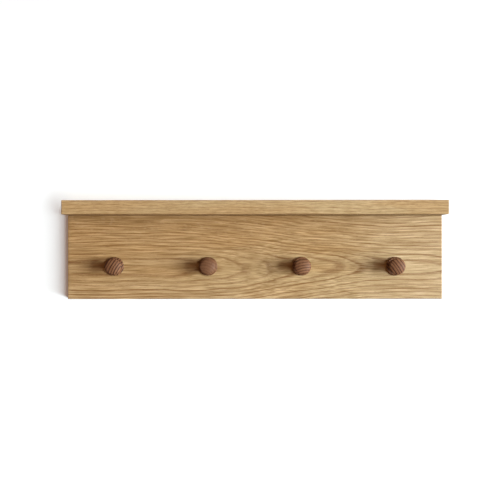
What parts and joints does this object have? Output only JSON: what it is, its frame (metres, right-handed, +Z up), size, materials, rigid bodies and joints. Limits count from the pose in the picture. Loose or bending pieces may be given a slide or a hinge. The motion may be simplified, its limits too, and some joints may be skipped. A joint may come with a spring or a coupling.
{
  "type": "wall peg rack",
  "caption": "Wooden wall rack: a narrow oak shelf on a back board, with a row of dark turned pegs for hanging coats, hung on keyhole plates in its back.",
  "frame": {"origin": "centre of the back, on the plane that meets the wall", "axes": "+X along the rack, +Y out of the back into the wall, +Z up; the front faces -Y"},
  "size_m": [0.6, 0.1, 0.156],
  "materials": {
    "oak": "light natural oak, matt hard-wax oil",
    "walnut": "dark walnut, turned and oiled",
    "beech": "plain fluted beech dowel",
    "zinc_steel": "bright zinc plate on stamped and turned steel"
  },
  "bodies": {
    "root": {"back_board": "oak", "shelf_board": "oak", "peg_1": "walnut", "peg_2": "walnut", "peg_3": "walnut", "peg_4": "walnut", "shelf_dowel_1": "beech", "shelf_dowel_2": "beech", "shelf_dowel_3": "beech", "shelf_dowel_4": "beech", "peg_screw_1": "zinc_steel", "peg_screw_2": "zinc_steel", "peg_screw_3": "zinc_steel", "peg_screw_4": "zinc_steel", "keyhole_plate_left": "zinc_steel", "keyhole_screw_left_lower": "zinc_steel", "keyhole_screw_left_upper": "zinc_steel", "keyhole_plate_right": "zinc_steel", "keyhole_screw_right_lower": "zinc_steel", "keyhole_screw_right_upper": "zinc_steel"}
  },
  "joints": []
}
